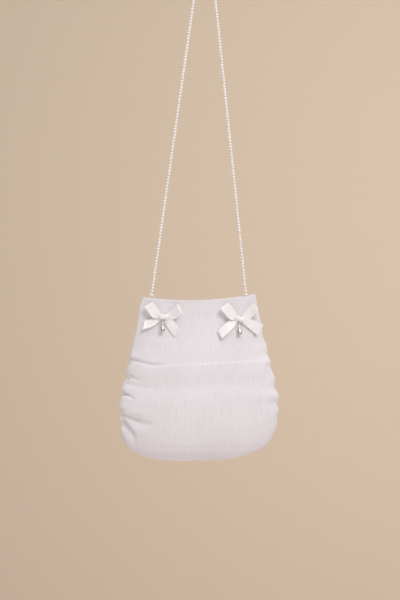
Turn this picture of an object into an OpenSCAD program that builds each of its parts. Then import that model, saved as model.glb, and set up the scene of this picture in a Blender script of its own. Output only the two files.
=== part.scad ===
// Pouch purse of crinkle-pleated chiffon, hung from a string of pearls.
// The frame's origin is where the string lies over a peg, with +Z up and the front towards -Y.

/* [Bag] */
// Width of the bag at its widest place
bag_w = 174; // [150:1:210]
// Width across the mouth, corner to corner
mouth_w = 124; // [100:1:130]
// Height from the corners of the mouth to the bottom
bag_h = 181; // [150:1:220]
// Height of the widest place above the bottom
belly_h = 53; // [40:1:70]
// Depth of the bag at its fullest, front to back
bag_d = 36; // [28:1:46]
// Clear gap between the linings at the mouth
mouth_gap = 6; // [5:0.5:9]
// Height of the band under the mouth that stays straight
hem_h = 20; // [16:1:26]
// How far the middle of the top edge lies below its corners
mouth_dip = 5; // [0:0.5:8]
// Height of the mouth's corners above the hanging point, a negative number
top_z = -350; // [-352:1:-349]

/* [Cloth] */
// Outer cloth with its backing
panel_t = 1.4; // [1:0.1:2]
// Satin lining
lining_t = 0.6; // [0.4:0.1:1]
// Space between the outer cloth and the lining
lining_gap = 1; // [0.9:0.1:2]
// Gap between the front and the back along the sides
seam_gap = 0.3; // [0.3:0.1:0.6]
// Thickness of the tapes that hold the side gathers
tape_t = 0.5; // [0.3:0.1:0.7]

/* [Strap] */
// Diameter of the string of pearls
pearl_d = 3; // [2.4:0.1:3.4]
// How far in from the mouth's corners the string's ends are sewn
strap_in = 10; // [8:0.5:13]
// Diameter of the last pearl of each end, drilled crosswise
end_pearl_d = 3.4; // [2.8:0.1:4]
// Thread loop through the end pearl
thread_d = 0.7; // [0.5:0.1:0.9]
// Radial clearance of the thread in the end pearl
thread_fit = 0.05; // [0.03:0.01:0.1]
// Width of the ribbon tabs that take the thread
tab_w = 9.5; // [8:0.5:11]
// Length of the ribbon tabs
tab_l = 11.5; // [9:0.5:15]
// Thickness of the ribbon tabs
tab_t = 0.8; // [0.6:0.1:1]

/* [Bows] */
// Width of the ribbon
ribbon_w = 10; // [8:0.5:12]
// Thickness of a ribbon layer
ribbon_t = 0.5; // [0.4:0.1:0.8]
// Length of a loop from the middle of the knot
loop_l = 19; // [15:0.5:22]
// Length of a tail from the middle of the knot
tail_l = 24; // [18:0.5:28]
// Width of the knot
knot_w = 9.5; // [7:0.5:11]
// Depth of the knot, front to back
knot_d = 6.5; // [5:0.5:8]
// Height of the knot
knot_h = 5; // [4:0.5:6]
// How far in from its corner of the mouth the left bow is sewn
bow_left_in = 21.5; // [18:0.5:26]
// How far in from its corner of the mouth the right bow is sewn
bow_right_in = 18; // [16:0.5:26]
// Distance of the left bow below the top edge
bow_left_s = 21; // [18:0.5:28]
// Distance of the right bow below the top edge
bow_right_s = 25; // [18:0.5:28]

/* [Pendants] */
// Length of a teardrop
drop_l = 9.5; // [7:0.5:12]
// Widest diameter of a teardrop
drop_d = 5; // [4:0.5:6]
// Radius of the jump ring, to the middle of its wire
ring_r = 1.5; // [1.3:0.1:2]
// Wire of the jump ring
ring_wire = 0.5; // [0.4:0.1:0.6]
// Wire of the eye on the drop's cap
eye_wire = 0.4; // [0.3:0.1:0.5]

/* [Snap] */
// Diameter of the magnetic snap
snap_d = 14; // [12:1:18]
// Distance of the snap below the top edge
snap_s = 12; // [10:1:14]
// Thickness of the stud's plate
stud_t = 2.2; // [1.6:0.1:2.6]
// Diameter of the stud's nub
nub_d = 4.8; // [4:0.1:6]
// Radial clearance of the nub in the socket
nub_fit = 0.2; // [0.15:0.05:0.3]
// Gap between the two halves of the closed snap
snap_gap = 0.2; // [0.1:0.05:0.4]

/* [Hidden] */

chiffon = [0.87, 0.84, 0.85];
satin = [0.95, 0.93, 0.93];
pearl = [0.96, 0.94, 0.90];
silver = [0.75, 0.74, 0.72];

// The bag's middle lies a little to the left of the hanging point, as it was hung.
bag_x = -6.5;
pivot_z = top_z + 0.9;
strap_span = mouth_w - 2 * strap_in;
bow_left_x = bow_left_in - mouth_w / 2;
bow_right_x = mouth_w / 2 - bow_right_in;

// Outline of the bag: straight sides from the mouth, a round stretch into the hip, and a
// superellipse below it.
hip_s = bag_h - belly_h;
hip_curve = 28;
side_slope = (bag_w - mouth_w) / 2 / (hip_s - hip_curve / 2);
mouth_half_d = mouth_gap / 2 + lining_t + lining_gap + panel_t;
dip_fade = 60;
bottom_turn = 85;

function half_w(s) = s < hip_s - hip_curve
    ? mouth_w / 2 + side_slope * s
    : bag_w / 2 - side_slope / (2 * hip_curve) * pow(hip_s - s, 2);
function fullness(s) = s <= hem_h ? 0 : pow(sin(90 * (s - hem_h) / (hip_s - hem_h)), 1.3);
function half_d(s) = mouth_half_d + (bag_d / 2 - mouth_half_d) * fullness(s);
function dip(s) = mouth_dip * max(0, 1 - s / dip_fade);

// A row of the bag at u: 0 is the mouth, 1 the widest place and 2 the bottom. inset moves it
// inwards, for the inside of a cloth. It gives the row's distance down, half width and half depth.
function row(u, inset) = u <= 1
    ? [u * hip_s, half_w(u * hip_s) - inset, half_d(u * hip_s) - inset]
    : let (a = bottom_turn * (u - 1))
        [hip_s + (belly_h - inset) * pow(sin(a), 2 / 3),
         (bag_w / 2 - inset) * pow(cos(a), 2 / 3),
         (bag_d / 2 - inset) * pow(cos(a), 0.8)];
function row_point(r, turn) = [
    bag_x + r[1] * sin(turn),
    -seam_gap / 2 - r[2] * cos(turn),
    top_z - r[0] - dip(r[0]) * pow(cos(turn), 2)
];
function grid(rows, turns, inset) = [
    for (u = rows) let (r = row(u, inset)) for (turn = turns) row_point(r, turn)
];

// A point just off the front, at x from the bag's middle and s down from the top edge.
function front_point(x, s, off) = [
    bag_x + x,
    -seam_gap / 2 - half_d(s) * sqrt(1 - pow(x / half_w(s), 2)) - off,
    top_z - s - dip(s) * (1 - pow(x / half_w(s), 2))
];

// A closed sheet between two grids of points. A tray is also closed across its last row.
module sheet(outer, inner, rows, cols, tray = false) {
    n = rows * cols;
    last = (rows - 1) * cols;
    faces = [
        for (i = [0 : rows - 2], j = [0 : cols - 2])
            let (a = i * cols + j, b = a + 1, c = a + cols, d = c + 1)
            each [[a, b, d], [a, d, c], [n + a, n + d, n + b], [n + a, n + c, n + d]],
        for (j = [0 : cols - 2])
            each [[n + j, n + j + 1, j + 1], [n + j, j + 1, j]],
        for (i = [0 : rows - 2])
            let (a = i * cols, b = a + cols, c = a + cols - 1, d = b + cols - 1)
            each [[a, b, n + b], [a, n + b, n + a], [d, c, n + c], [d, n + c, n + d]],
        if (!tray) for (j = [last : last + cols - 2])
            each [[j, j + 1, n + j + 1], [j, n + j + 1, n + j]],
        if (tray) for (j = [1 : cols - 2])
            each [[last, last + j, last + j + 1], [n + last, n + last + j + 1, n + last + j]],
        if (tray) each [
            [last, last + cols - 1, n + last + cols - 1],
            [last, n + last + cols - 1, n + last]
        ]
    ];
    polyhedron(concat(outer, inner), faces, convexity = 6);
}

hem_u = hem_h / hip_s;
bag_rows = concat(
    [0, hem_u / 2, hem_u],
    [for (i = [1 : 8]) hem_u + (1 - hem_u) * i / 8],
    [1.14, 1.28, 1.42, 1.55, 1.67, 1.78, 1.9, 2]
);
bag_turns = [-90, -84, -76, -66, -55, -44, -33, -22, -11, 0, 11, 22, 33, 44, 55, 66, 76, 84, 90];

// One half of the bag, as a tray whose open side is the middle plane.
module half_bag(inset, t) {
    sheet(grid(bag_rows, bag_turns, inset), grid(bag_rows, bag_turns, inset + t),
        len(bag_rows), len(bag_turns), tray = true);
}
module on_back() {
    mirror([0, 1, 0]) children();
}
module on_side(side) {
    translate([bag_x, 0, 0]) scale_x(side) translate([-bag_x, 0, 0]) children();
}
module scale_x(side) {
    if (side > 0) children();
    else mirror([1, 0, 0]) children();
}

module front_panel() {
    color(chiffon) half_bag(0, panel_t);
}
module back_panel() {
    color(chiffon) on_back() half_bag(0, panel_t);
}
module front_lining() {
    color(satin) half_bag(panel_t + lining_gap, lining_t);
}
module back_lining() {
    color(satin) on_back() half_bag(panel_t + lining_gap, lining_t);
}

// Each tape lies between the back and its lining, along the gathered stretch of the side. It
// takes the bag's own rows and turns, so that the three cloths stay parallel.
tape_rows = [for (i = [4 : 12]) bag_rows[i]];
tape_turns = [for (i = [14 : 17]) bag_turns[i]];
module gather_tape(side) {
    inset = panel_t + (lining_gap - tape_t) / 2;
    color(satin) on_side(side) on_back()
        sheet(grid(tape_rows, tape_turns, inset), grid(tape_rows, tape_turns, inset + tape_t),
            len(tape_rows), len(tape_turns));
}

// The tab's outer edge is caught in the side seam, so it runs into the back and its lining.
tab_top = 2.5;
seam_bite = 0.8;
module strap_tab(side) {
    x_in = strap_span / 2 - tab_w / 2;
    x_out = strap_span / 2 + tab_w / 2;
    x_seam = mouth_w / 2 - panel_t + seam_bite;
    z = top_z - mouth_dip * (1 - pow(strap_span / mouth_w, 2)) - tab_top - tab_l;
    color(satin) on_side(side) translate([bag_x, 0, z]) union() {
        translate([x_in, -tab_t / 2, 0]) cube([tab_w, tab_t, tab_l]);
        translate([x_out - 1, seam_gap / 2, 0]) cube([x_seam - x_out + 1, tab_t, tab_l]);
    }
}

// A staple of thread: its bar passes through the end pearl and its legs run into the tab.
thread_reach = end_pearl_d / 2 + thread_d / 2 + 0.3;
thread_leg = 9;
module anchor_thread(side) {
    color(satin) on_side(side) translate([bag_x + strap_span / 2, 0, pivot_z]) {
        rotate([0, 90, 0]) cylinder(d = thread_d, h = 2 * thread_reach, center = true, $fn = 24);
        for (x = [-thread_reach, thread_reach]) translate([x, 0, 0]) {
            sphere(d = thread_d, $fn = 24);
            translate([0, 0, -thread_leg]) cylinder(d = thread_d, h = thread_leg, $fn = 24);
        }
    }
}

// Middle line of the string of pearls, in X and Z. It is straight from each end up to the bend
// over the peg.
strap_route = [
    [-58.2, -347], [-51.2, -298], [-44.2, -249], [-37.2, -200], [-30.2, -151], [-23.2, -102],
    [-16.2, -53], [-11, -16], [-9.9, -7], [-8.7, -3.5], [-7.1, -1.4], [-5, 0.2], [-2.6, 1.2],
    [0, 1.5], [2.6, 1.2], [5, 0.2], [7.1, -1.4], [8.7, -3.5], [9.9, -8], [11, -18],
    [15.3, -59], [20.3, -107], [25.3, -155], [30.3, -203], [35.3, -251], [40.3, -299],
    [45.3, -347]
];
strap_sides = 8;
ring_step = 10;
function spans(p, q) = max(1, round(norm(q - p) / ring_step));
strap_line = concat(
    [for (i = [0 : len(strap_route) - 2])
        let (p = strap_route[i], q = strap_route[i + 1], n = spans(p, q))
        for (k = [0 : n - 1]) p + (q - p) * k / n],
    [strap_route[len(strap_route) - 1]]
);
module pearl_strap() {
    rings = len(strap_line);
    points = [
        for (i = [0 : rings - 1])
            let (p = strap_line[max(0, i - 1)], q = strap_line[min(rings - 1, i + 1)],
                along = (q - p) / norm(q - p), across = [-along[1], along[0]])
            for (k = [0 : strap_sides - 1])
                let (a = 360 * k / strap_sides, out = pearl_d / 2 * cos(a))
                [strap_line[i][0] + across[0] * out, pearl_d / 2 * sin(a),
                 strap_line[i][1] + across[1] * out]
    ];
    faces = [
        [for (k = [0 : strap_sides - 1]) k],
        for (i = [0 : rings - 2], k = [0 : strap_sides - 1])
            let (a = i * strap_sides + k, b = i * strap_sides + (k + 1) % strap_sides)
            each [[a, a + strap_sides, b + strap_sides], [a, b + strap_sides, b]],
        [for (k = [strap_sides - 1 : -1 : 0]) (rings - 1) * strap_sides + k]
    ];
    color(pearl) polyhedron(points, faces, convexity = 4);
}

// The end pearl turns on the thread, and its neck meets the end of the string.
module end_pearl(x, start) {
    pivot = [x, 0, pivot_z];
    reach = [start[0], 0, start[1]] - pivot;
    color(pearl) translate(pivot) difference() {
        union() {
            sphere(d = end_pearl_d, $fn = 32);
            rotate([0, atan2(reach[0], reach[2]), 0])
                cylinder(d = end_pearl_d / 2, h = norm(reach), $fn = 32);
        }
        rotate([0, 90, 0])
            cylinder(d = thread_d + 2 * thread_fit, h = end_pearl_d + 2, center = true, $fn = 32);
    }
}

// Magnetic snap: the socket on the front holds a ring magnet, and the stud on the back enters it.
// Two prongs on each pass through the lining and its washer.
snap_z = top_z - snap_s - dip(snap_s);
socket_t = mouth_gap + seam_gap - stud_t - snap_gap - 0.1;
snap_wall = 0.8;
nub_l = 1.8;
magnet_t = 1.6;
prong_w = 2.5;
prong_t = 0.4;
prong_x = 3.5;
washer_t = 0.4;
lining_back = lining_t + (lining_gap - washer_t) / 2;
module at_snap(y, out) {
    translate([bag_x, y, snap_z]) rotate([out > 0 ? -90 : 90, 0, 0]) children();
}
module prongs(back) {
    for (x = [-prong_x, prong_x])
        translate([x - prong_t / 2, -prong_w / 2, -back]) cube([prong_t, prong_w, back + 0.2]);
}
snap_front_y = -(mouth_gap + seam_gap) / 2 + 0.05;
snap_back_y = (mouth_gap + seam_gap) / 2 - 0.05;
module snap_socket() {
    color(silver) at_snap(snap_front_y, 1) difference() {
        union() {
            cylinder(d = snap_d, h = socket_t, $fn = 64);
            prongs(lining_back + washer_t);
        }
        translate([0, 0, socket_t - nub_l - 0.4])
            cylinder(d = nub_d + 2 * nub_fit, h = nub_l + 1, $fn = 48);
        translate([0, 0, snap_wall]) difference() {
            cylinder(d = snap_d - 2 * snap_wall, h = magnet_t, $fn = 64);
            translate([0, 0, -1])
                cylinder(d = nub_d + 2 * nub_fit + 2 * snap_wall, h = magnet_t + 2, $fn = 48);
        }
    }
}
module snap_magnet() {
    play = 0.05;
    color([0.3, 0.3, 0.3]) at_snap(snap_front_y, 1) translate([0, 0, snap_wall + play])
        difference() {
            cylinder(d = snap_d - 2 * snap_wall - 2 * play, h = magnet_t - 2 * play, $fn = 64);
            translate([0, 0, -1])
                cylinder(d = nub_d + 2 * nub_fit + 2 * snap_wall + 2 * play, h = magnet_t + 2,
                    $fn = 48);
        }
}
module snap_stud() {
    color(silver) at_snap(snap_back_y, -1) union() {
        cylinder(d = snap_d, h = stud_t, $fn = 64);
        translate([0, 0, stud_t]) cylinder(d = nub_d, h = nub_l, $fn = 48);
        prongs(lining_back + washer_t);
    }
}
module snap_washer(y, out) {
    color(silver) at_snap(y, out) translate([0, 0, -lining_back - washer_t]) difference() {
        cylinder(d = snap_d - 2, h = washer_t, $fn = 48);
        translate([0, 0, -1]) cylinder(d = 3, h = washer_t + 2, $fn = 32);
    }
}

// A bow: two loops, two tails that lie on the cloth, and the knot sewn to the cloth.
stitch = 0.3;
loop_lift = 25;
loop_d = 5;
tail_fall = 33;
tail_end = 0.85;
cloth_off = 0.35;
function knot_at(x, s) = front_point(x, s, knot_d / 2 - stitch);

// Outline of a loop seen from above, a ribbon folded round at its far end.
function loop_outline(r) = concat(
    [[0, -ribbon_t - 0.2]],
    [for (a = [-100 : 20 : 100]) [loop_l - loop_d / 2 + r * cos(a), r * sin(a)]],
    [[0, ribbon_t + 0.2]]
);
module bow_loops(x, s) {
    knot = knot_at(x, s);
    color(satin) translate(knot) for (side = [-1, 1]) {
        far = front_point(x + side * loop_l * cos(loop_lift), s - loop_l * sin(loop_lift),
            loop_d / 2 + 2 * cloth_off);
        yaw = asin((far[1] - knot[1]) / loop_l);
        scale_x(side) rotate([0, -loop_lift, yaw]) intersection() {
            linear_extrude(height = 2 * ribbon_w, center = true, convexity = 4) difference() {
                polygon(loop_outline(loop_d / 2));
                polygon([for (p = loop_outline(loop_d / 2 - ribbon_t))
                    [p[0] + (p[0] == 0 ? knot_w / 2 : 0), p[1] * (p[0] == 0 ? 0.3 : 1)]]);
            }
            rotate([90, 0, 0]) linear_extrude(height = 3 * loop_d, center = true)
                polygon([[knot_w / 2 - 0.5, -knot_h * 0.4], [loop_l + 1, -ribbon_w / 2],
                    [loop_l + 1, ribbon_w / 2], [knot_w / 2 - 0.5, knot_h * 0.4]]);
        }
    }
}
tail_steps = 6;
function tail_grid(x, s, side, off) = [
    for (i = [0 : tail_steps]) let (
        t = i / tail_steps,
        out = 3 + t * (tail_l - 3),
        w = ribbon_w * (0.4 + 0.6 * min(1, 1.6 * t))
    ) for (v = [-0.5, 0, 0.5]) let (
        reach = out - v * side * t * 4 * tail_end,
        px = side * cos(tail_fall) * reach + sin(tail_fall) * v * w,
        pz = -sin(tail_fall) * reach + side * cos(tail_fall) * v * w
    ) front_point(x + px, s - pz, off)
];
module bow_tails(x, s) {
    color(satin) for (side = [-1, 1])
        sheet(tail_grid(x, s, side, cloth_off + ribbon_t), tail_grid(x, s, side, cloth_off),
            tail_steps + 1, 3);
}

// The knot is a band of ribbon wrapped round the middle.
module bow_knot(x, s) {
    r = 1.6;
    corners = [[1, 1, 0], [-1, 1, 90], [-1, -1, 180], [1, -1, 270]];
    color(satin) translate(knot_at(x, s)) rotate([90, 0, 90])
        linear_extrude(height = knot_w, center = true)
            polygon([for (c = corners, a = [0 : 22.5 : 90])
                [c[0] * (knot_d / 2 - r) + r * cos(a + c[2]),
                 c[1] * (knot_h / 2 - r) + r * sin(a + c[2])]]);
}

// The pendant hangs in front of the cloth, under the knot's front edge.
thread_in = 0.3;
thread_up = 0.5;
thread_r = 0.8;
eye_r = 0.9;
loop_thread = 0.4;
link_play = 0.08;
function thread_at(x, s) = knot_at(x, s)
    + [0, thread_in - knot_d / 2, thread_up - knot_h / 2];
function ring_top(x, s) = thread_at(x, s)
    - [0, 0, thread_r - loop_thread / 2 - ring_wire / 2 - link_play];
function ring_mid(x, s) = ring_top(x, s) - [0, 0, ring_r];
function eye_mid(x, s) = ring_mid(x, s)
    - [0, 0, ring_r + eye_r - eye_wire / 2 - ring_wire / 2 - link_play];
module wire_ring(r, wire) {
    rotate_extrude($fn = 48) translate([r, 0]) circle(d = wire, $fn = 16);
}
module pendant_thread(x, s) {
    color(satin) translate(thread_at(x, s)) rotate([0, 90, 0]) wire_ring(thread_r, loop_thread);
}
module jump_ring(x, s) {
    color(silver) translate(ring_mid(x, s)) rotate([90, 0, 0]) wire_ring(ring_r, ring_wire);
}
cap_h = 1.2;
cap_wall = 0.4;
cap_d = 2.6;
module drop_cap(x, s) {
    color(silver) translate(eye_mid(x, s)) {
        rotate([0, 90, 0]) wire_ring(eye_r, eye_wire);
        translate([0, 0, -eye_r - cap_h]) rotate_extrude($fn = 32)
            polygon([[0, cap_h - cap_wall], [cap_d / 2 - cap_wall, 0], [cap_d / 2, 0],
                [cap_d / 4 + 0.1, cap_h], [0, cap_h]]);
    }
}
// Outline of half a teardrop, from its tip down: a cone that runs into a ball.
drop_ball = drop_d / 2;
drop_lean = asin(drop_ball / (drop_l - drop_ball));
module teardrop(x, s) {
    tip = eye_mid(x, s) - [0, 0, eye_r + cap_wall];
    color([0.86, 0.85, 0.83]) translate(tip - [0, 0, drop_l - drop_ball])
        rotate_extrude($fn = 40) polygon(concat(
            [[0, drop_l - drop_ball]],
            [for (k = [0 : 12]) let (a = drop_lean - k * (drop_lean + 90) / 12)
                [k == 12 ? 0 : drop_ball * cos(a), drop_ball * sin(a)]]
        ));
}

front_panel();
back_panel();
front_lining();
back_lining();
gather_tape(-1);  // gather_tape_left
gather_tape(1);  // gather_tape_right
strap_tab(-1);  // strap_tab_left
strap_tab(1);  // strap_tab_right
anchor_thread(-1);  // anchor_thread_left
anchor_thread(1);  // anchor_thread_right
pearl_strap();
end_pearl(bag_x - strap_span / 2, strap_route[0]);  // end_pearl_left
end_pearl(bag_x + strap_span / 2, strap_route[len(strap_route) - 1]);  // end_pearl_right
snap_socket();
snap_magnet();
snap_stud();
snap_washer(snap_front_y, 1);  // snap_washer_front
snap_washer(snap_back_y, -1);  // snap_washer_back
bow_loops(bow_left_x, bow_left_s);  // bow_left_loops
bow_tails(bow_left_x, bow_left_s);  // bow_left_tails
bow_knot(bow_left_x, bow_left_s);  // bow_left_knot
pendant_thread(bow_left_x, bow_left_s);  // pendant_thread_left
jump_ring(bow_left_x, bow_left_s);  // ring_left
drop_cap(bow_left_x, bow_left_s);  // cap_left
teardrop(bow_left_x, bow_left_s);  // drop_left
bow_loops(bow_right_x, bow_right_s);  // bow_right_loops
bow_tails(bow_right_x, bow_right_s);  // bow_right_tails
bow_knot(bow_right_x, bow_right_s);  // bow_right_knot
pendant_thread(bow_right_x, bow_right_s);  // pendant_thread_right
jump_ring(bow_right_x, bow_right_s);  // ring_right
drop_cap(bow_right_x, bow_right_s);  // cap_right
teardrop(bow_right_x, bow_right_s);  // drop_right
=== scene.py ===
import math
import bpy
import numpy as np
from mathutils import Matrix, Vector


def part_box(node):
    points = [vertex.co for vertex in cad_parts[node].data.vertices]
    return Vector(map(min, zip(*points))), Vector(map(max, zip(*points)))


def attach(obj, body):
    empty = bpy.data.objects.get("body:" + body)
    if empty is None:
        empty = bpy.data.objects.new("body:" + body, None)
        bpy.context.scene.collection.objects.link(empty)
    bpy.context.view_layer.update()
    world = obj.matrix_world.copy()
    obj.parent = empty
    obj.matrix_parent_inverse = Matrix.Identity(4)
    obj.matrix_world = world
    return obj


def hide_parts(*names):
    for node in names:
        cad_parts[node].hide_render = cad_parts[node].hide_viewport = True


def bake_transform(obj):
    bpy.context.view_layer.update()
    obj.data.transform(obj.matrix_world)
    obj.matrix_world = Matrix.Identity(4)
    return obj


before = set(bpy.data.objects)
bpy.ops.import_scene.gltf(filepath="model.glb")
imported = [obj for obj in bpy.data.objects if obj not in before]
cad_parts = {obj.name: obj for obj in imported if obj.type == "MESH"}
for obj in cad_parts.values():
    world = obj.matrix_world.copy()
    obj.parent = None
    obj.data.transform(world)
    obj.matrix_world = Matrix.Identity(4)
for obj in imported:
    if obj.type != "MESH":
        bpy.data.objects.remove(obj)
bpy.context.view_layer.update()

# ---------------------------------------------------------------------------------------------
# The camera. A long lens at the height of the bag's top, a few degrees to the left, so that a
# sliver of the bag's left side shows. Lengths are in millimetres until they reach Blender.
MM = 0.001
view_centre = Vector((-5.4, 0, -354.6))
view_distance = 2400
view_height = 660
view_turn = math.radians(3.5)

camera = bpy.data.objects.new("camera", bpy.data.cameras.new("camera"))
bpy.context.scene.collection.objects.link(camera)
camera.data.sensor_width = 36
camera.data.lens = camera.data.sensor_width * view_distance / view_height
camera.data.clip_end = 30
away = Vector((-math.sin(view_turn), -math.cos(view_turn), 0))
camera.location = (view_centre + away * view_distance) * MM
camera.rotation_euler = (math.pi / 2, 0, -view_turn)
bpy.context.scene.camera = camera


# ---------------------------------------------------------------------------------------------
# The string of pearls. Small round glass pearls on a waxed cord, drawn taut by the bag's weight
# from one corner of the mouth, over the peg and down to the other corner.
pearl_d = 3.2
pearl_pitch = 3.33
core_d = 0.9
bare_end = 2.6
string_route = [
    (-58.2, -347), (-51.2, -298), (-44.2, -249), (-37.2, -200), (-30.2, -151), (-23.2, -102),
    (-16.2, -53), (-11, -16), (-9.9, -7), (-8.7, -3.5), (-7.1, -1.4), (-5, 0.2), (-2.6, 1.2),
    (0, 1.5), (2.6, 1.2), (5, 0.2), (7.1, -1.4), (8.7, -3.5), (9.9, -8), (11, -18),
    (15.3, -59), (20.3, -107), (25.3, -155), (30.3, -203), (35.3, -251), (40.3, -299),
    (45.3, -347)
]


class Value:
    """A shader socket that can be used in sums, which adds the Math nodes."""

    def __init__(self, finish, socket):
        self.finish = finish
        self.socket = socket

    def maths(self, operation, a, b):
        return self.finish.node("ShaderNodeMath", {"operation": operation}, {0: a, 1: b})

    def __add__(self, other):
        return self.maths("ADD", self, other)

    def __mul__(self, other):
        return self.maths("MULTIPLY", self, other)

    __radd__ = __add__
    __rmul__ = __mul__


class Finish:
    """A material with one Principled shader, and the nodes that feed it."""

    def __init__(self, name, constants):
        self.material = bpy.data.materials.new(name)
        self.material.use_nodes = True
        self.tree = self.material.node_tree
        self.shader = self.tree.nodes["Principled BSDF"]
        for socket, value in constants.items():
            self.shader.inputs[socket].default_value = value

    def join(self, value, socket):
        if isinstance(value, Value):
            self.tree.links.new(value.socket, socket)
        else:
            socket.default_value = value

    def node(self, kind, settings, inputs, output=0):
        made = self.tree.nodes.new(kind)
        for setting, value in settings.items():
            setattr(made, setting, value)
        for socket, value in inputs.items():
            self.join(value, made.inputs[socket])
        return Value(self, made.outputs[output])

    def place(self, stretch, source="Object"):
        at = self.node("ShaderNodeTexCoord", {}, {}, source)
        return self.node("ShaderNodeMapping", {}, {"Vector": at, "Scale": stretch})

    def noise(self, stretch, detail=2.0, source="Object"):
        """Noise whose grains are 1 / stretch metres apart along each axis."""
        at = self.place(stretch, source)
        return self.node("ShaderNodeTexNoise", {}, {"Vector": at, "Scale": 1.0, "Detail": detail})

    def ramp(self, value, low, high):
        return self.node("ShaderNodeMapRange", {"interpolation_type": "SMOOTHSTEP"},
            {"Value": value, "From Min": low, "From Max": high})

    def mix(self, mask, a, b):
        return self.node("ShaderNodeMix", {"data_type": "RGBA"}, {0: mask, 6: a, 7: b}, 2)

    def bump(self, height, depth):
        """Raises the surface by height times depth, in metres."""
        made = self.node("ShaderNodeBump", {}, {"Height": height, "Distance": depth})
        self.join(made, self.shader.inputs["Normal"])

    def feed(self, socket, value):
        self.join(value, self.shader.inputs[socket])


def pearl_finish():
    finish = Finish("pearl", {"Coat Weight": 0.6, "Coat Roughness": 0.12, "IOR": 1.55,
        "Subsurface Weight": 0.15, "Subsurface Radius": (0.002, 0.0015, 0.001)})
    cloud = finish.noise((900, 900, 900))
    finish.feed("Base Color", finish.mix(cloud, (0.90, 0.85, 0.80, 1), (0.95, 0.93, 0.92, 1)))
    finish.feed("Roughness", 0.2 + 0.15 * cloud)
    finish.bump(finish.noise((2500, 2500, 2500)), 0.00001)
    return finish.material


def settle(obj, body):
    """Last step for every new piece: its body."""
    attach(obj, body)


def new_object(name, points, faces, material):
    """points are in millimetres."""
    mesh = bpy.data.meshes.new(name)
    mesh.from_pydata((np.asarray(points, float) * MM).tolist(), [], faces)
    mesh.materials.append(material)
    obj = bpy.data.objects.new(name, mesh)
    bpy.context.scene.collection.objects.link(obj)
    return obj


def only(obj):
    bpy.ops.object.select_all(action="DESELECT")
    obj.select_set(True)
    bpy.context.view_layer.objects.active = obj


def smooth(obj, angle):
    only(obj)
    bpy.ops.object.shade_smooth_by_angle(angle=math.radians(angle))


def string_of_pearls():
    line = np.array([(x, 0, z) for x, z in string_route], float)
    steps = np.linalg.norm(np.diff(line, axis=0), axis=1)
    reach = np.concatenate([[0], np.cumsum(steps)])
    length = reach[-1]

    def at(distance):
        return np.stack([np.interp(distance, reach, line[:, k]) for k in range(3)], axis=-1)

    bpy.ops.object.select_all(action="DESELECT")
    bpy.ops.mesh.primitive_uv_sphere_add(segments=8, ring_count=6, radius=pearl_d / 2)
    pearl = bpy.context.object
    shape = np.array([v.co[:] for v in pearl.data.vertices])
    shape_faces = [tuple(f.vertices) for f in pearl.data.polygons]
    bpy.data.objects.remove(pearl)

    count = int((length - bare_end) / pearl_pitch) + 1
    start = (length - (count - 1) * pearl_pitch) / 2
    points = []
    faces = []
    for index in range(count):
        middle = at(start + index * pearl_pitch)
        base = len(points)
        points += (shape + middle).tolist()
        faces += [tuple(base + k for k in face) for face in shape_faces]

    # The waxed cord shows between the pearls.
    sides = 6
    dense = at(np.linspace(0, length, 360))
    base = len(points)
    for index, middle in enumerate(dense):
        ahead = dense[min(index + 1, len(dense) - 1)] - dense[max(index - 1, 0)]
        ahead = ahead / np.linalg.norm(ahead)
        across = np.array([-ahead[2], 0, ahead[0]])
        for side in range(sides):
            turn = 2 * math.pi * side / sides
            out = across * math.cos(turn) + np.array([0, math.sin(turn), 0])
            points.append((middle + out * core_d / 2).tolist())
    for index in range(len(dense) - 1):
        for side in range(sides):
            a = base + index * sides + side
            b = base + index * sides + (side + 1) % sides
            faces.append((a, a + sides, b + sides, b))
    faces.append(tuple(base + k for k in range(sides)))
    last = base + (len(dense) - 1) * sides
    faces.append(tuple(last + k for k in reversed(range(sides))))

    obj = new_object("string_of_pearls", points, faces, pearl_finish())
    smooth(obj, 60)
    return obj, dense * MM, length * MM


pearl_string, string_path, string_length = string_of_pearls()
settle(pearl_string, "strap")
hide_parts("pearl_strap")


# ---------------------------------------------------------------------------------------------
# The end pearls and the thread that holds them. Each last pearl is drilled crosswise and turns
# on a staple of waxed thread, whose legs are sewn into a ribbon tab inside the mouth.
def dress(names, material):
    """Gives frame nodes a finish."""
    for name in names:
        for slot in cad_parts[name].material_slots:
            slot.material = material


def thread_finish():
    finish = Finish("thread", {"Sheen Weight": 0.3})
    twist = finish.noise((3000, 3000, 1200), 1.0)
    finish.feed("Base Color", finish.mix(twist, (0.80, 0.77, 0.76, 1), (0.92, 0.90, 0.89, 1)))
    finish.feed("Roughness", 0.5 + 0.2 * twist)
    finish.bump(twist, 0.00004)
    return finish.material


thread = thread_finish()
dress(["end_pearl_left", "end_pearl_right"], pearl_string.data.materials[0])
dress(["anchor_thread_left", "anchor_thread_right"], thread)
dress(["pendant_thread_left", "pendant_thread_right"], thread)


# ---------------------------------------------------------------------------------------------
# The outer cloth of the bag. Crinkle-pleated chiffon over a thin backing, cut to a wide-hipped
# pouch and gathered on tapes along both side seams, so that soft folds run in from the sides.
bag_x = -6.5
top_z = -350
bag_w = 174
mouth_w = 124
hem_h = 20
mouth_dip = 5
dip_fade = 60
belly_h = 53
hip_s = 128
hip_curve = 28
mouth_half_d = 6
bag_half_d = 18
bag_lean = 0.03
panel_gap = 0.15
chiffon_t = 0.5
side_slope = (bag_w - mouth_w) / 2 / (hip_s - hip_curve / 2)


def half_width(s):
    """Half the bag's width, s down from the corners of the mouth, as far as the hip."""
    flare = mouth_w / 2 + side_slope * s
    hip = bag_w / 2 - side_slope / (2 * hip_curve) * (hip_s - s) ** 2
    return np.where(s < hip_s - hip_curve, flare, hip)


def fullness(s):
    turn = np.clip((s - hem_h) / (hip_s - hem_h), 0, 1) * math.pi / 2
    return np.sin(turn) ** 1.3


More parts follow.
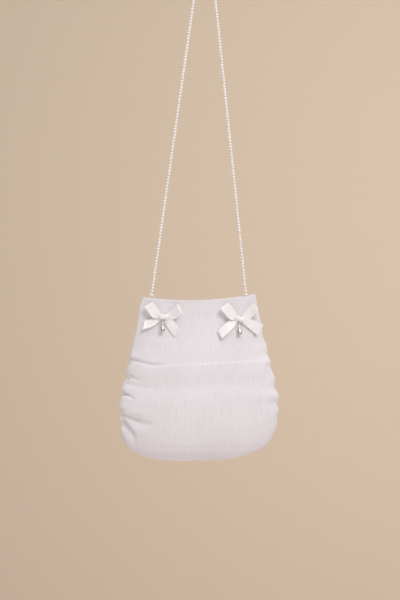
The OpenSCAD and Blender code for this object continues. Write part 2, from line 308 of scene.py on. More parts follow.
def bag_row(s, inset):
    """Half width and half depth of the bag at s, for a cloth that lies inset inside it."""
    below = np.clip((s - hip_s) / (belly_h - inset), 0, 1)
    width = half_width(np.minimum(s, hip_s)) - inset
    depth = mouth_half_d + (bag_half_d - mouth_half_d) * fullness(s) - inset
    return width * (1 - below ** 3) ** (1 / 3), depth * (1 - below ** 3) ** 0.6


def ease(value):
    value = np.clip(value, 0, 1)
    return value * value * (3 - 2 * value)


def bag_grid(rows, columns, inset, seam_shift):
    """The bag's front as a grid of points from the left seam to the right one, evenly spaced
    along the cloth. It also gives each point's distance along the cloth from the middle."""
    fine = np.linspace(-math.pi / 2, math.pi / 2, 721)
    grid = np.zeros((len(rows), columns, 3))
    along = np.zeros((len(rows), columns))
    widths, depths = bag_row(rows, inset if np.ndim(inset) else np.full(len(rows), inset))
    for i, s in enumerate(rows):
        line = np.stack([widths[i] * np.sin(fine), depths[i] * np.cos(fine)], axis=1)
        steps = np.linalg.norm(np.diff(line, axis=0), axis=1)
        reach = np.concatenate([[0], np.cumsum(steps)])
        reach -= reach[-1] / 2
        share = np.linspace(reach[0], reach[-1], columns)
        turn = np.interp(share, reach, fine)
        side = np.sin(turn)
        shift = np.where(side < 0, -seam_shift(s, -1), seam_shift(s, 1))
        dip = mouth_dip * max(0, 1 - s / dip_fade) * np.cos(turn) ** 2
        grid[i, :, 0] = widths[i] * side + shift * np.abs(side) ** 8
        grid[i, :, 1] = -(depths[i] + panel_gap) * np.cos(turn)
        grid[i, :, 2] = top_z - s - dip
        along[i] = share
    return grid, along


def grid_normals(grid):
    down = np.gradient(grid, axis=0)
    right = np.gradient(grid, axis=1)
    normal = np.cross(down, right)
    return normal / np.maximum(np.linalg.norm(normal, axis=2, keepdims=True), 1e-9)


# Scallops of the side seams, one for each gather: distance down, how far out, half length.
left_scallops = [(8, 0.9, 9), (34, -0.5, 12), (64, 0.5, 5), (71, -1.5, 3), (80, 0.6, 5),
    (88, -1.6, 3), (98, 0.9, 6), (106, -1.5, 2.6), (116, 0.3, 5), (124, -1.2, 2.6),
    (130, 0.5, 3), (138, -2.4, 4), (150, 0.3, 6), (166, 0.9, 7)]
right_scallops = [(20, -0.5, 16), (46, -1.8, 7), (59, 0.4, 4), (66, -1.1, 3), (73, 0.5, 4),
    (81, -0.7, 3), (93, 1.7, 5), (103, -1.1, 3), (113, 2.1, 4.5), (121, -0.5, 2.6),
    (128, 0.9, 4), (137, -0.5, 4), (158, -0.9, 9)]


def seam_shift(s, side):
    scallops = left_scallops if side < 0 else right_scallops
    return sum(out * math.exp(-((s - at) / half) ** 2) for at, out, half in scallops)


def fold(x, s, line, height, above, below, fade):
    """A ridge, or a crease where height is negative, along a line of (x, s) points. above and
    below are its half widths, and fade is how far it takes to die out at its left and right."""
    middle = np.interp(x, [p[0] for p in line], [p[1] for p in line])
    off = s - middle
    profile = np.exp(-(off / np.where(off < 0, above, below)) ** 2)
    ends = ease((x - line[0][0]) / fade[0]) * ease((line[-1][0] - x) / fade[1])
    return height * profile * ends


def tuck(x, s, line, height, step, run, fade):
    """A tuck: the cloth steps out at the line and falls back over run below it."""
    middle = np.interp(x, [p[0] for p in line], [p[1] for p in line])
    off = s - middle
    ends = ease((x - line[0][0]) / fade[0]) * ease((line[-1][0] - x) / fade[1])
    return height * ease(off / step + 0.5) * (1 - ease(off / run)) * ends


def pleats(along, s, seed):
    """Crinkle pleats: rounded ridges 2 to 3 mm apart between narrow valleys, each with its own
    height, which wander a little and swell and fade down the cloth."""
    pick = np.random.RandomState(seed)
    right = 1.3 + np.cumsum(pick.uniform(1.9, 3.3, 48))
    left = -1.3 - np.cumsum(pick.uniform(1.9, 3.3, 48))
    valleys = np.concatenate([left[::-1], [-1.3, 1.3], right])
    heights = pick.uniform(0.02, 0.085, len(valleys))
    heights[pick.uniform(size=len(valleys)) > 0.85] = 0.13
    phases = pick.uniform(0, 2 * math.pi, len(valleys))
    waves = pick.uniform(24, 70, len(valleys))
    wander = 0.45 * np.sin(s / 13 + along / 9) + 0.25 * np.sin(s / 5.3 + along / 17)
    place = along + wander * ease(np.abs(along) / 6)
    index = np.clip(np.searchsorted(valleys, place, side="right") - 1, 0, len(valleys) - 2)
    t = (place - valleys[index]) / (valleys[index + 1] - valleys[index])
    swell = 0.7 + 0.3 * np.sin(2 * math.pi * s / waves[index] + phases[index])
    ridge = np.sin(math.pi * np.clip(t, 0, 1)) ** 0.75
    return heights[index] * swell * ridge


def gathers(x, s, grid_x, side, seed):
    """Small folds that run in from one side seam, between its scallops."""
    scallops = left_scallops if side < 0 else right_scallops
    pick = np.random.RandomState(seed)
    seam = np.abs(grid_x[:, 0] if side < 0 else grid_x[:, -1])[:, None]
    inward = seam - np.abs(x)
    out = np.zeros_like(x)
    for at, size, half in scallops:
        reach = pick.uniform(9, 24)
        lean = pick.uniform(-0.28, 0.28)
        if 50 < at < 150:
            off = s - at - lean * inward
            out += 0.4 * size * np.exp(-(off / (half * 0.9)) ** 2) * np.exp(-inward / reach)
    return np.where(x * side > 0, out, 0)


def front_folds(x, s):
    """The folds of the front, as it hangs."""
    h = tuck(x, s, [(-84, 67), (-73, 69), (-52, 75.3), (-20, 75), (30, 74), (76, 73), (92, 72)],
        1.25, 1.7, 25, (12, 12))
    h += fold(x, s, [(-90, 65), (-73, 68.6), (-52, 74.2), (-34, 74.5)], -1.6, 1.4, 1.6, (3, 18))
    h += fold(x, s, [(-92, 60), (-76, 63), (-55, 69), (-30, 71)], 0.7, 3.5, 3, (4, 26))
    h += fold(x, s, [(-95, 92), (-82, 93), (-60, 99), (-47, 101), (0, 98.5), (83, 96), (95, 95)],
        -0.8, 9, 8, (5, 5))
    h += fold(x, s, [(-95, 92), (-82, 93), (-60, 99), (-40, 101)], -0.6, 2.2, 2.4, (5, 30))
    h += fold(x, s, [(-95, 112), (-40, 117), (0, 116), (50, 114), (95, 112)], 0.8, 13, 24, (9, 9))
    h += fold(x, s, [(-86, 104), (-82, 105.5), (-76, 108), (-69, 111.5)], -1.9, 1.4, 1.6, (2, 7))
    h += fold(x, s, [(-90, 127), (-84, 129), (-63, 137), (-42, 140)],
        -2.4, 1.9, 3.4, (3, 30))
    h += fold(x, s, [(-92, 119), (-80, 122), (-60, 128), (-40, 131)], 0.9, 4.5, 4, (4, 30))
    h += fold(x, s, [(-86, 135), (-82, 139.6), (-75, 147), (-67, 156)], -2.4, 4.2, 8, (3, 9))
    h += fold(x, s, [(-80, 139), (-68, 146), (-50, 151)], 0.8, 4.5, 5, (6, 20))
    h += fold(x, s, [(-79, 94), (-70, 84), (-62, 78)], 0.75, 1.6, 1.6, (5, 6))
    h += fold(x, s, [(-80, 84), (-73, 87), (-64, 93)], -0.7, 1.3, 1.6, (5, 6))
    h += fold(x, s, [(20, 51), (40, 47.5), (64, 44)], 0.5, 3, 4.5, (14, 10))
    h += fold(x, s, [(-68, 46), (-46, 49), (-22, 50)], 0.35, 3, 5, (10, 16))
    h += fold(x, s, [(44, 100), (66, 84), (80, 70)], 0.7, 6, 7, (16, 8))
    h += fold(x, s, [(46, 132), (66, 124), (92, 118)], -0.5, 5, 5, (22, 5))
    h += fold(x, s, [(40, 148), (66, 140), (92, 134)], 0.5, 6, 6, (24, 5))
    return h


def back_folds(x, s):
    """The folds of the back, looser than the front's."""
    h = tuck(x, s, [(-92, 66), (-60, 71), (-10, 77), (40, 74), (92, 68)], 1.2, 2.2, 22, (16, 10))
    h += fold(x, s, [(-95, 98), (-50, 104), (10, 101), (60, 104), (95, 99)], -1.0, 5, 5, (5, 5))
    h += fold(x, s, [(-95, 114), (0, 119), (95, 115)], 0.8, 12, 20, (9, 9))
    h += fold(x, s, [(30, 139), (62, 134), (92, 127)], -1.4, 2.2, 3, (34, 4))
    h += fold(x, s, [(-92, 134), (-66, 140), (-30, 141)], -1.0, 2.4, 3.2, (4, 32))
    h += fold(x, s, [(60, 108), (76, 106), (90, 104)], -1.1, 1.5, 1.8, (8, 3))
    h += fold(x, s, [(-88, 82), (-70, 86), (-48, 87)], -0.8, 2, 2.4, (4, 22))
    h += fold(x, s, [(-40, 30), (0, 34), (44, 31)], 0.4, 6, 8, (20, 20))
    return h


def lean(grid):
    """The bag hangs with its right side a little higher, and its middle left of the peg."""
    grid = grid.copy()
    grid[..., 2] += bag_lean * grid[..., 0]
    grid[..., 0] += bag_x
    return grid


def cloth(name, grid, along, down, material, thickness, flip):
    """A sheet of cloth on a grid of points, with thickness behind it."""
    rows, columns = grid.shape[:2]
    faces = []
    for i in range(rows - 1):
        for j in range(columns - 1):
            a = i * columns + j
            face = (a, a + columns, a + columns + 1, a + 1)
            faces.append(face[::-1] if flip else face)
    obj = new_object(name, grid.reshape(-1, 3), faces, material)
    uv = obj.data.uv_layers.new(name="cloth")
    spread = np.stack([along.ravel(), down.ravel()], axis=1) * MM
    loops = np.zeros(len(obj.data.loops), int)
    obj.data.loops.foreach_get("vertex_index", loops)
    uv.data.foreach_set("uv", spread[loops].ravel())
    only(obj)
    wall = obj.modifiers.new("thickness", "SOLIDIFY")
    wall.thickness = thickness * MM
    wall.offset = -1
    bpy.ops.object.modifier_apply(modifier="thickness")
    smooth(obj, 55)
    return obj


def chiffon_finish():
    finish = Finish("chiffon", {"Sheen Weight": 0.4, "Sheen Roughness": 0.45,
        "Specular IOR Level": 0.3})
    crinkle = finish.noise((950, 950, 55), 3.0)
    weave = finish.noise((5200, 5200, 3600), 1.0)
    tone = finish.noise((34, 34, 18), 2.0)
    # Painted shade and random tone: the base colour is darker where the crinkle bump is low, in
    # its hollows, and also varies at random with the tone noise.
    crinkle_shade_and_tone = finish.ramp(crinkle * 0.7 + tone * 0.3, 0.3, 0.7)
    finish.feed("Base Color", finish.mix(crinkle_shade_and_tone, (0.765, 0.728, 0.765, 1),
        (0.825, 0.795, 0.835, 1)))
    finish.feed("Roughness", 0.72 + 0.18 * weave)
    finish.bump(crinkle * 0.8 + weave * 0.35, 0.00006)
    return finish.material


chiffon = chiffon_finish()
string_end_x = 52
hollow_depth = 0.9
hollow_half_w = 6
hollow_reach = 14
outer_columns = 381
hem_turn = [(5.0, 1.5), (2.0, 1.5), (0.2, 1.25), (-0.25, 0.8), (-0.3, 0.4), (-0.05, 0.08)]
outer_rows = np.concatenate([
    np.linspace(0.3, hip_s, 104),
    hip_s + belly_h * np.sin(np.linspace(0, 1, 50)[1:] * math.radians(88.5)),
    [hip_s + belly_h]
])


def outer_cloth(folds, seed):
    """The whole width of one outer cloth, pleated, folded and gathered, with its turned hem."""
    grid, along = bag_grid(outer_rows, outer_columns, 0, seam_shift)
    s = outer_rows[:, None] + 0 * along
    x = grid[..., 0]
    height = folds(x, s) + gathers(x, s, x, -1, seed + 1) + gathers(x, s, x, 1, seed + 2)
    height += pleats(along, s, seed) * ease(s / 3)
    height += 0.2 * (1 - ease((s - 2.6) / 1.6)) - 0.08 * np.exp(-((s - 4.4) / 0.7) ** 2)
    bottom_seam = hip_s + 38.5 + 1.5 * np.sin(x / 60)
    height -= 0.35 * np.exp(-((s - bottom_seam) / 0.9) ** 2) * ease((66 - np.abs(x)) / 8)
    seam = np.abs(along[:, -1:]) - np.abs(along)
    height *= ease(seam / 3.5) * ease((hip_s + belly_h - s) / 2)
    outer = grid + grid_normals(grid) * height[..., None]
    outer[-1, :, 1] = 0

    # The string's pull presses a slight hollow into the edge at its right end.
    hollow = np.exp(-((x - string_end_x) / hollow_half_w) ** 2)
    pressed = hollow_depth * hollow * (1 - ease(s / hollow_reach))
    outer[..., 2] -= pressed

    # The top edge is turned in over the lining.
    turn_rows = np.array([row for row, inset in hem_turn])
    turn_inset = np.array([inset for row, inset in hem_turn])
    turned, turned_along = bag_grid(turn_rows, outer_columns, turn_inset - 0.3, seam_shift)
    turned[..., 2] -= pressed[0]
    whole = np.concatenate([turned, outer])
    down = np.concatenate([turn_rows[:, None] + 0 * turned_along, s])
    return lean(whole), np.concatenate([turned_along, along]), down


middle = outer_columns // 2
sew_start = 64
sew_end = 46
sides = {"left": (slice(0, middle + 1), -1), "right": (slice(middle, None), 1)}


def join_to_bag(obj, side):
    """Bakes a piece of the front into its mesh where it lies. The side seam's sewing points are
    worked out but not used, and the piece is joined to no body."""
    (bag_x + side * sew_start) * MM
    (bag_x + side * sew_end) * MM
    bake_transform(obj)


grid, along, down = outer_cloth(front_folds, 11)
for name, (part, side) in sides.items():
    piece = cloth("front_cloth_" + name, grid[:, part], along[:, part], down[:, part],
        chiffon, chiffon_t, False)
    join_to_bag(piece, side)
    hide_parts("front_panel")

grid, along, down = outer_cloth(back_folds, 29)
grid[..., 1] *= -1
for name, (part, side) in sides.items():
    piece = cloth("back_cloth_" + name, grid[:, part], along[:, part], down[:, part],
        chiffon, chiffon_t, True)
    settle(piece, "bag")
    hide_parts("back_panel")


# ---------------------------------------------------------------------------------------------
# The lining. Two layers of thin satin cut like the outer cloth, sewn under the turned hem and
# hanging a little loose inside, with a few soft creases of its own.
lining_inset = 1.9
lining_loose = 1.9
lining_t = 0.3
lining_columns = 141


def satin_finish(name, dark, light, roughness):
    finish = Finish(name, {"Sheen Weight": 0.2, "Specular IOR Level": 0.55,
        "Anisotropic": 0.4})
    floats = finish.noise((260, 5200, 5200), 1.0)
    cloud = finish.noise((60, 60, 60), 2.0)
    finish.feed("Base Color", finish.mix(finish.ramp(floats * 0.5 + cloud * 0.5, 0.3, 0.7),
        dark, light))
    finish.feed("Roughness", roughness + 0.12 * floats)
    finish.bump(floats, 0.00003)
    return finish.material


lining_satin = satin_finish("lining_satin", (0.77, 0.72, 0.725, 1), (0.84, 0.79, 0.795, 1), 0.34)
lining_rows = np.concatenate([
    [1.0, 1.6, 2.4], np.linspace(4, hip_s, 60),
    hip_s + (belly_h - 3) * np.sin(np.linspace(0, 1, 24)[1:] * math.radians(88))
])


def lining_cloth(seed):
    inset = lining_inset + lining_loose * fullness(lining_rows)
    grid, along = bag_grid(lining_rows, lining_columns, inset, lambda s, side: 0)
    s = lining_rows[:, None] + 0 * along
    x = grid[..., 0]
    pick = np.random.RandomState(seed)
    height = 0 * x
    for wrinkle in range(9):
        at = pick.uniform(-70, 70)
        width = pick.uniform(3, 7)
        sway = pick.uniform(-0.12, 0.12)
        off = along - at - sway * (s - 90)
        height -= pick.uniform(0.2, 0.6) * np.exp(-(off / width) ** 2) * ease((s - 30) / 40)
    seam = np.abs(along[:, -1:]) - np.abs(along)
    height *= ease(seam / 6)
    return lean(grid + grid_normals(grid) * height[..., None]), along, s


lining_middle = lining_columns // 2
for face, seed in (("front", 5), ("back", 8)):
    grid, along, down = lining_cloth(seed)
    if face == "back":
        grid[..., 1] *= -1
    for name, side in (("left", -1), ("right", 1)):
        part = slice(0, lining_middle + 1) if side < 0 else slice(lining_middle, None)
        piece = cloth(face + "_lining_" + name, grid[:, part], along[:, part], down[:, part],
            lining_satin, lining_t, face == "back")
        if face == "front":
            join_to_bag(piece, side)
        else:
            settle(piece, "bag")
        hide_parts(face + "_lining")


# ---------------------------------------------------------------------------------------------
# Gather tapes and strap tabs. A narrow woven tape inside each side seam holds the gathers, and a
# folded tab of ribbon, caught in the seam at the mouth's corner, takes the string's thread.
def tape_finish():
    finish = Finish("tape", {"Sheen Weight": 0.2})
    ribs = finish.noise((900, 900, 3800), 1.0)
    finish.feed("Base Color", finish.mix(ribs, (0.70, 0.66, 0.65, 1), (0.84, 0.80, 0.79, 1)))
    finish.feed("Roughness", 0.7 + 0.15 * ribs)
    finish.bump(ribs, 0.00012)
    return finish.material


tape_rows = np.linspace(58, 150, 120)
tape_inset = 1.0
tape_t = 0.35
tape = tape_finish()
for name, side in (("left", -1), ("right", 1)):
    grid, along = bag_grid(tape_rows, 181, tape_inset, seam_shift)
    part = slice(8, 15) if side < 0 else slice(-15, -8)
    grid[..., 1] *= -1
    ruck = 0.22 * np.sin(tape_rows * 2.1)[:, None]
    grid[..., 1] += ruck
    grid = lean(grid)
    piece = cloth("gather_tape_cloth_" + name, grid[:, part], along[:, part],
        tape_rows[:, None] + 0 * along[:, part], tape, tape_t, True)
    settle(piece, "bag")
    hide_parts("gather_tape_" + name)

tab_t = 0.35
tab_fold = 0.42
for name in ("left", "right"):
    low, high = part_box("strap_tab_" + name)
    across = np.linspace(low[0], high[0], 13) / MM
    top = high[2] / MM
    bottom = low[2] / MM
    profile = [(-tab_fold, bottom), (-tab_fold, (top + bottom) / 2), (-tab_fold, top - 0.6),
        (-0.25, top - 0.1), (0.25, top - 0.1), (tab_fold, top - 0.6),
        (tab_fold, (top + bottom) / 2), (tab_fold, bottom)]
    grid = np.array([[(x, y, z) for x in across] for y, z in profile])
    grid[..., 1] += 0.08 * np.sin(grid[..., 0] * 1.3) * ease((top - grid[..., 2]) / 3)
    along = grid[..., 0] - across[0]
    down = np.arange(len(profile))[:, None] * 2.0 + 0 * along
    piece = cloth("strap_tab_ribbon_" + name, grid, along, down, lining_satin, tab_t * 0.7, False)
    settle(piece, "bag")
    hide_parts("strap_tab_" + name)


# ---------------------------------------------------------------------------------------------
# The magnetic snap. Pressed and plated steel on both halves, with a ring magnet in the socket,
# fixed through the lining by prongs bent over round washers.
def nickel_finish():
    finish = Finish("snap_metal", {"Metallic": 1.0, "Specular IOR Level": 0.5})
    wear = finish.noise((700, 700, 700), 4.0)
    finish.feed("Base Color", finish.mix(wear, (0.62, 0.60, 0.57, 1), (0.78, 0.76, 0.73, 1)))
    finish.feed("Roughness", 0.2 + 0.2 * wear)
    finish.bump(wear, 0.00002)
    return finish.material


def magnet_finish():
    finish = Finish("magnet", {"Metallic": 0.8})
    grain = finish.noise((2600, 2600, 2600), 3.0)
    finish.feed("Base Color", finish.mix(grain, (0.08, 0.08, 0.09, 1), (0.18, 0.18, 0.19, 1)))
    finish.feed("Roughness", 0.5 + 0.2 * grain)
    finish.bump(grain, 0.00003)
    return finish.material


dress(["snap_socket", "snap_stud", "snap_washer_front", "snap_washer_back"], nickel_finish())
dress(["snap_magnet"], magnet_finish())


# ---------------------------------------------------------------------------------------------
# The bows. Narrow double-faced satin ribbon: two loops and two tails gathered under a knot that
# is sewn to the cloth, so that loops and tails stand out from it towards their ends.
ribbon_t = 0.28
ribbon_pinch = 0.35


def ribbon_finish():
    finish = Finish("ribbon_satin", {"Sheen Weight": 0.15, "Specular IOR Level": 0.6})
    floats = finish.noise((300, 5600, 1), 1.0, "UV")
    rib = finish.node("ShaderNodeTexWave", {"bands_direction": "X"},
        {"Vector": finish.place((1, 1, 1), "UV"), "Scale": 620.0, "Distortion": 0.6})
    cloud = finish.noise((150, 150, 150), 2.0)
    finish.feed("Base Color", finish.mix(finish.ramp(cloud * 0.6 + floats * 0.4, 0.3, 0.7),
        (0.90, 0.875, 0.885, 1), (0.96, 0.945, 0.95, 1)))
    finish.feed("Roughness", 0.26 + 0.14 * floats)
    finish.bump(floats * 0.8 + rib * 0.2, 0.00003)
    return finish.material


ribbon_satin = ribbon_finish()


def surface_y(x, z):
    """Where the front's cloth lies at a place in the frame, without its folds."""
    x = np.clip(np.asarray(x, float) - bag_x, -57, 57)
    s = np.clip(top_z - np.asarray(z, float) + bag_lean * x - 2, 0, hip_s)
    width, depth = bag_row(s, np.zeros_like(s))
    return -panel_gap - depth * np.sqrt(1 - (x / width) ** 2)


def curve_through(points, per_span):
    """A smooth curve through points, per_span steps from each to the next."""
    p = np.asarray(points, float)
    p = np.concatenate([[2 * p[0] - p[1]], p, [2 * p[-1] - p[-2]]])
    out = []
    for a, b, c, d in zip(p, p[1:], p[2:], p[3:]):
        for t in np.arange(per_span) / per_span:
            out.append(0.5 * (2 * b + (c - a) * t + (2 * a - 5 * b + 4 * c - d) * t * t
                + (3 * b - a - 3 * c + d) * t ** 3))
    return np.array(out + [p[-2]])


def ribbon(name, knot, upper, lower, flip):
    """A length of ribbon between its two edges. Each point of an edge is (right, out, up) from
    the knot's middle, and out is measured from the cloth."""
    a = curve_through(upper, 7)
    b = curve_through(lower, 7)
    v = np.linspace(0, 1, 15)[None, :, None]
    grid = a[:, None] * (1 - v) + b[:, None] * v
    reach = np.linalg.norm((a + b) / 2 - (a[0] + b[0]) / 2, axis=1)[:, None]
    grid[..., 1] += ribbon_pinch * np.cos(6 * math.pi * v[..., 0]) * np.exp(-reach / 5)
    grid[..., 1] += 0.5 * (1 - (2 * v[..., 0] - 1) ** 2) * np.exp(-reach / 9)
    steps = np.linalg.norm(np.diff((a + b) / 2, axis=0), axis=1)
    length = np.concatenate([[0], np.cumsum(steps)])
    width = np.linalg.norm(a - b, axis=1)
    out = grid[..., 1].copy()
    grid[..., 0] += knot[0]
    grid[..., 2] += knot[1]
    grid[..., 1] = surface_y(grid[..., 0], grid[..., 2]) - out
    along = width[:, None] * v[..., 0]
    down = length[:, None] + 0 * along
    piece = cloth(name, grid, along, down, ribbon_satin, ribbon_t, flip)
    return piece


bows = {
    "left": {
        "knot": (-45.9, -373.1), "tilt": 0,
        "loop_left": (
            [(-2.2, 3.4, 2.0), (-4.2, 4.6, 6.4), (-8.0, 5.4, 11.4), (-12.0, 5.8, 16.0),
             (-12.7, 4.7, 16.9), (-11.9, 3.5, 16.0), (-9.0, 2.7, 9.6), (-2.5, 2.6, 1.4)],
            [(-2.5, 3.4, -1.6), (-10.9, 4.9, -1.2), (-16.0, 6.3, 4.2), (-20.3, 7.0, 10.0),
             (-21.1, 5.4, 11.0), (-20.0, 3.8, 10.0), (-13.8, 2.7, 3.0), (-2.5, 2.6, -1.4)]),
        "loop_right": (
            [(2.2, 3.4, 2.0), (6.4, 5.4, 6.4), (10.4, 8.0, 10.2), (14.1, 10.4, 13.4),
             (15.8, 8.6, 14.0), (14.8, 5.6, 12.8), (9.5, 3.0, 6.7), (2.5, 2.6, 1.4)],
            [(2.5, 3.4, -1.8), (10.4, 3.9, -3.0), (15.6, 6.0, 0.0), (19.2, 8.4, 4.2),
             (20.8, 7.0, 4.8), (19.6, 4.8, 4.2), (13.5, 2.8, 0.2), (2.5, 2.6, -1.4)]),
        "tail_left": (
            [(-2.2, 2.3, 0.8), (-8.0, 2.3, -0.4), (-14.5, 2.5, -2.3), (-20.6, 2.8, -4.3)],
            [(-1.8, 2.3, -2.0), (-7.0, 3.3, -7.0), (-13.6, 4.6, -11.0), (-23.2, 5.6, -13.6)]),
        "tail_right": (
            [(2.2, 2.3, 0.8), (8.2, 3.0, -1.6), (13.6, 3.6, -7.0), (18.0, 4.8, -12.6)],
            [(0.8, 2.0, -2.2), (2.4, 1.7, -7.8), (6.2, 1.5, -14.2), (12.2, 1.9, -21.2)]),
    },
    "right": {
        "knot": (37.6, -375.3), "tilt": -20,
        "loop_left": (
            [(-2.2, 3.4, 2.4), (-3.6, 4.6, 7.4), (-7.6, 5.4, 12.4), (-12.2, 5.8, 17.0),
             (-12.8, 4.7, 17.9), (-12.0, 3.5, 16.8), (-9.4, 2.7, 11.4), (-2.5, 2.6, 1.9)],
            [(-2.5, 3.4, -0.9), (-10.4, 4.9, -0.6), (-16.0, 6.3, 5.0), (-20.8, 7.0, 10.4),
             (-21.7, 5.4, 11.4), (-20.5, 3.8, 10.3), (-14.6, 2.7, 4.8), (-2.5, 2.6, -0.9)]),
        "loop_right": (
            [(2.2, 3.4, 2.0), (5.4, 5.6, 8.2), (10.0, 8.2, 13.6), (14.2, 10.4, 17.0),
             (15.8, 8.6, 17.4), (14.8, 5.6, 16.6), (9.8, 3.0, 11.2), (2.5, 2.6, 1.2)],
            [(2.5, 3.4, -1.8), (11.0, 3.9, -0.4), (16.2, 6.0, 4.2), (19.8, 8.4, 8.8),
             (21.2, 7.0, 9.2), (20.0, 4.8, 8.6), (14.4, 2.8, 4.8), (2.5, 2.6, -1.6)]),
        "tail_left": (
            [(-2.2, 2.3, 0.8), (-9.4, 2.4, -0.4), (-17.0, 3.0, -6.2), (-23.4, 3.0, -12.2),
             (-24.6, 2.0, -13.8)],
            [(-1.4, 2.3, -1.8), (-5.2, 3.4, -7.0), (-11.4, 4.8, -14.4), (-18.4, 4.8, -20.6),
             (-20.0, 3.4, -21.6)]),
        "tail_right": (
            [(2.2, 2.6, 0.4), (9.6, 4.4, 0.8), (17.2, 5.6, -2.0), (26.2, 6.2, -6.4)],
            [(1.2, 2.4, -2.4), (6.6, 2.5, -7.2), (12.8, 2.8, -12.2), (19.7, 3.2, -18.0)]),
    },
}
for name, bow in bows.items():
    side = -1 if name == "left" else 1
    for part in ("loop_left", "loop_right", "tail_left", "tail_right"):
        upper, lower = bow[part]
        piece = ribbon("bow_" + name + "_" + part, bow["knot"], upper, lower,
            part.endswith("right"))
        join_to_bag(piece, side)
        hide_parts("bow_" + name + ("_loops" if "loop" in part else "_tails"))


# The knot is a length of the same ribbon wrapped round the gathered middle, drawn up into soft
# creases along its length.
knot_w = 9.6
knot_d = 6.2
knot_h = 5.2


def knot(name, place, tilt):
    bpy.ops.object.select_all(action="DESELECT")
    bpy.ops.mesh.primitive_circle_add(vertices=48, radius=1, fill_type="NOTHING",
        rotation=(0, math.pi / 2, 0))
    obj = bpy.context.object
    obj.name = "bow_" + name + "_knot_wrap"
    bpy.ops.object.transform_apply(location=False, rotation=True, scale=False)
    bpy.ops.object.mode_set(mode="EDIT")
    bpy.ops.mesh.select_all(action="SELECT")
    steps = 16
    for step in range(steps):
        bpy.ops.mesh.extrude_region_move(
            TRANSFORM_OT_translate={"value": (1 / steps, 0, 0)})
    bpy.ops.object.mode_set(mode="OBJECT")
    pick = np.random.RandomState(len(name))
    creases = [(a, pick.uniform(0.10, 0.3), pick.uniform(0.12, 0.22))
        for a in np.linspace(-2.4, 2.6, 7) + pick.uniform(-0.2, 0.2, 7)]
    lean_turn = math.radians(tilt)
    for vertex in obj.data.vertices:
        x, y, z = vertex.co
        along = 2 * x - 1
        turn = math.atan2(z, -y)
        groove = sum(deep * math.exp(-((turn - at - 0.15 * along) / wide) ** 2)
            for at, deep, wide in creases)
        swell = 1 + 0.10 * along * along - 0.16 * abs(along) ** 8
        square = (abs(math.cos(turn)) ** 3 + abs(math.sin(turn)) ** 3) ** (-1 / 3)
        out = -math.cos(turn) * square * (knot_d / 2 * swell - groove)
        up = math.sin(turn) * square * (knot_h / 2 * swell - groove)
        right = along * knot_w / 2 + 0.25 * math.sin(3 * turn)
        vertex.co = Vector((
            place[0] + right * math.cos(lean_turn) - up * math.sin(lean_turn),
            float(surface_y(place[0], place[1])) - knot_d / 2 + 0.3 + out,
            place[1] + right * math.sin(lean_turn) + up * math.cos(lean_turn))) * MM
    obj.data.materials.append(ribbon_satin)
    only(obj)
    bpy.ops.object.mode_set(mode="EDIT")
    bpy.ops.mesh.select_all(action="SELECT")
    bpy.ops.mesh.remove_doubles(threshold=0.000001)
    bpy.ops.mesh.normals_make_consistent(inside=False)
    bpy.ops.object.mode_set(mode="OBJECT")
    wall = obj.modifiers.new("thickness", "SOLIDIFY")
    wall.thickness = ribbon_t * 2 * MM
    wall.offset = -1
    bpy.ops.object.modifier_apply(modifier="thickness")
    smooth(obj, 50)
    return obj


for name, bow in bows.items():
    piece = knot(name, bow["knot"], bow["tilt"])
    settle(piece, "front")
    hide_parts("bow_" + name + "_knot")


# ---------------------------------------------------------------------------------------------
# The pendants. Small plated teardrops in pressed caps, each on a jump ring that hangs from a
# loop of thread under its bow's knot.
def silver_finish(name, dark, light, roughness, metallic):
    finish = Finish(name, {"Metallic": metallic, "Coat Weight": 0.3, "Coat Roughness": 0.05})
    film = finish.noise((420, 420, 420), 3.0)
    finish.feed("Base Color", finish.mix(finish.ramp(film, 0.35, 0.65), dark, light))
    finish.feed("Roughness", roughness + 0.1 * film)
    finish.bump(film, 0.00001)
    return finish.material


silver = silver_finish("silver", (0.66, 0.64, 0.60, 1), (0.85, 0.83, 0.79, 1), 0.1, 1.0)
drop_pearl = silver_finish("drop_pearl", (0.50, 0.45, 0.41, 1), (0.70, 0.65, 0.61, 1), 0.16, 0.75)
dress(["ring_left", "cap_left", "ring_right", "cap_right"], silver)
dress(["drop_left", "drop_right"], drop_pearl)


# ---------------------------------------------------------------------------------------------
# The studio. A plain beige backdrop and a pale floor, far from the bag. A soft key light from the
# upper right, a weak fill from below, one light behind, and one each for floor and backdrop.
def stage_finish(name, colours):
    finish = Finish(name, {"Roughness": 0.95, "Specular IOR Level": 0.1})
    grain = finish.noise((0.25, 0.25, 0.25), 1.0)
    finish.feed("Base Color", finish.mix(grain, *colours))
    return finish.material


def plane(name, corners, material):
    obj = new_object(name, corners, [(0, 1, 2, 3)], material)


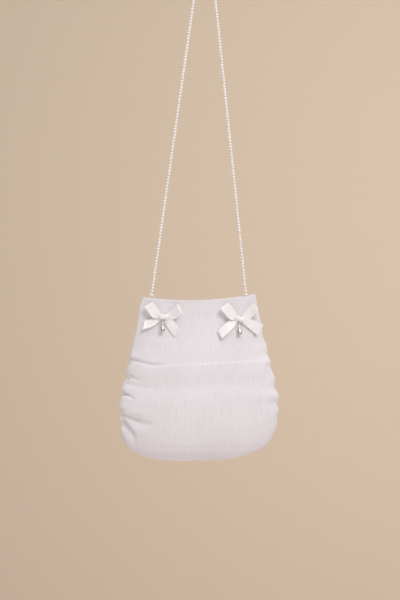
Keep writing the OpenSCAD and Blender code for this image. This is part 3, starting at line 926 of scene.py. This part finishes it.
backdrop = stage_finish("backdrop", ((0.54, 0.438, 0.344, 1), (0.56, 0.458, 0.36, 1)))
wall_y = 4500
floor_z = -1700
reach = 9000
floor_reach = 60000
plane("wall", [(-reach, wall_y, floor_z), (reach, wall_y, floor_z), (reach, wall_y, reach),
    (-reach, wall_y, reach)], backdrop)
pale = stage_finish("floor", ((0.82, 0.78, 0.73, 1), (0.85, 0.81, 0.76, 1)))
plane("floor", [(-floor_reach, -floor_reach, floor_z), (floor_reach, -floor_reach, floor_z),
    (floor_reach, wall_y, floor_z), (-floor_reach, wall_y, floor_z)], pale)


def soft_light(name, place, target, size, watts, colour):
    lamp = bpy.data.lights.new(name, "AREA")
    lamp.shape = "RECTANGLE"
    lamp.size, lamp.size_y = size
    lamp.energy = watts
    lamp.color = colour
    obj = bpy.data.objects.new(name, lamp)
    obj.location = Vector(place) * MM
    aim = Vector(target) * MM - obj.location
    obj.rotation_euler = aim.to_track_quat("-Z", "Y").to_euler()
    bpy.context.scene.collection.objects.link(obj)


bag_centre = (bag_x, 0, -440)
soft_light("key", (900, -1800, 1300), bag_centre, (0.9, 0.9), 30, (1.0, 0.98, 0.99))
soft_light("fill", (-200, -2200, -1300), bag_centre, (2.4, 1.6), 12, (1.0, 0.985, 1.0))
soft_light("back", (-1100, 2300, 900), bag_centre, (1.6, 1.6), 26, (1.0, 0.98, 0.98))
soft_light("overhead", (0, -300, 3200), (0, -300, floor_z), (4.0, 4.0), 56, (1.0, 1.0, 1.0))
soft_light("wall_wash", (1600, 1500, 300), (100, wall_y, -400), (2.0, 2.0), 66, (1.0, 1.0, 1.0))

# The open sides of the studio look as pale as its wall, brighter than the light they give.
world = bpy.data.worlds.new("studio")
world.use_nodes = True
sky = world.node_tree.nodes["Background"]
sky.inputs["Color"].default_value = (0.84, 0.79, 0.765, 1)
seen = world.node_tree.nodes.new("ShaderNodeLightPath")
strength = world.node_tree.nodes.new("ShaderNodeMapRange")
strength.inputs["To Min"].default_value = 0.5
strength.inputs["To Max"].default_value = 0.8
world.node_tree.links.new(seen.outputs["Is Camera Ray"], strength.inputs["Value"])
world.node_tree.links.new(strength.outputs["Result"], sky.inputs["Strength"])
bpy.context.scene.world = world
bpy.context.scene.view_settings.view_transform = "Standard"
